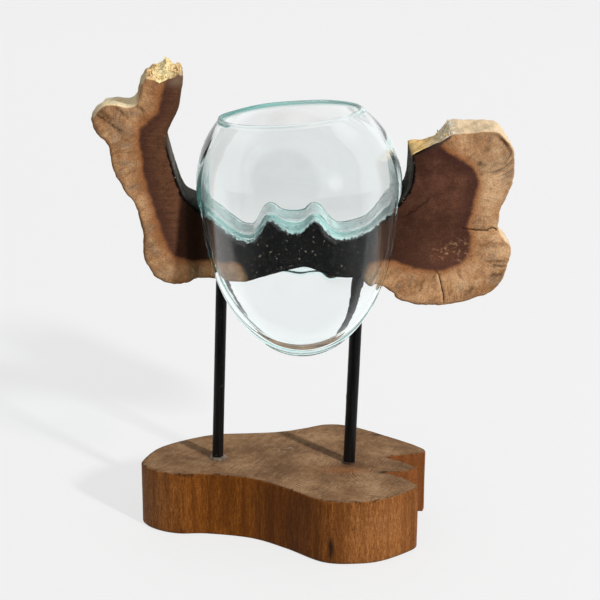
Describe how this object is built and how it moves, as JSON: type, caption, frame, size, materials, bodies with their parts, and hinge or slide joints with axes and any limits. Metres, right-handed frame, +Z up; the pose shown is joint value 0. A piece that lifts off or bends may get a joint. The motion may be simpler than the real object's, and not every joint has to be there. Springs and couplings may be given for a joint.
{
  "type": "hanging glass vase on root wood stand",
  "caption": "Clear blown-glass vase slumped astride a natural root wood slab, carried on slim black rods above a sawn wooden base; holds water, flowers or a terrarium.",
  "frame": {"origin": "on the underside of the base, midway between the two rods", "axes": "+Z up, -Y the front seen in the picture, +X to the right from the front"},
  "size_m": [0.3051, 0.1545, 0.359],
  "materials": {
    "base_wood": "sawn and sanded wood with a thin oil finish",
    "root_wood": "raw sawn root wood, pale at the rim, dark in the heart, scorched along the glass",
    "black_paint": "satin black paint on iron rod",
    "dried_glue": "dried wood glue mixed with sawdust",
    "clear_glass": "clear glass with a blue-green tint in thick edges"
  },
  "bodies": {
    "stand": {"base_slab": "base_wood", "left_rod": "black_paint", "right_rod": "black_paint", "left_foot_glue": "dried_glue", "right_foot_glue": "dried_glue", "left_head_glue": "dried_glue", "right_head_glue": "dried_glue", "root_wood_slab": "root_wood"},
    "vase": {"glass_vase": "clear_glass"}
  },
  "joints": [
    {"name": "vase_lift", "type": "slide", "parent": "stand", "child": "vase", "axis": [0, 0, 1], "range_m": [0, 0.22]}
  ]
}
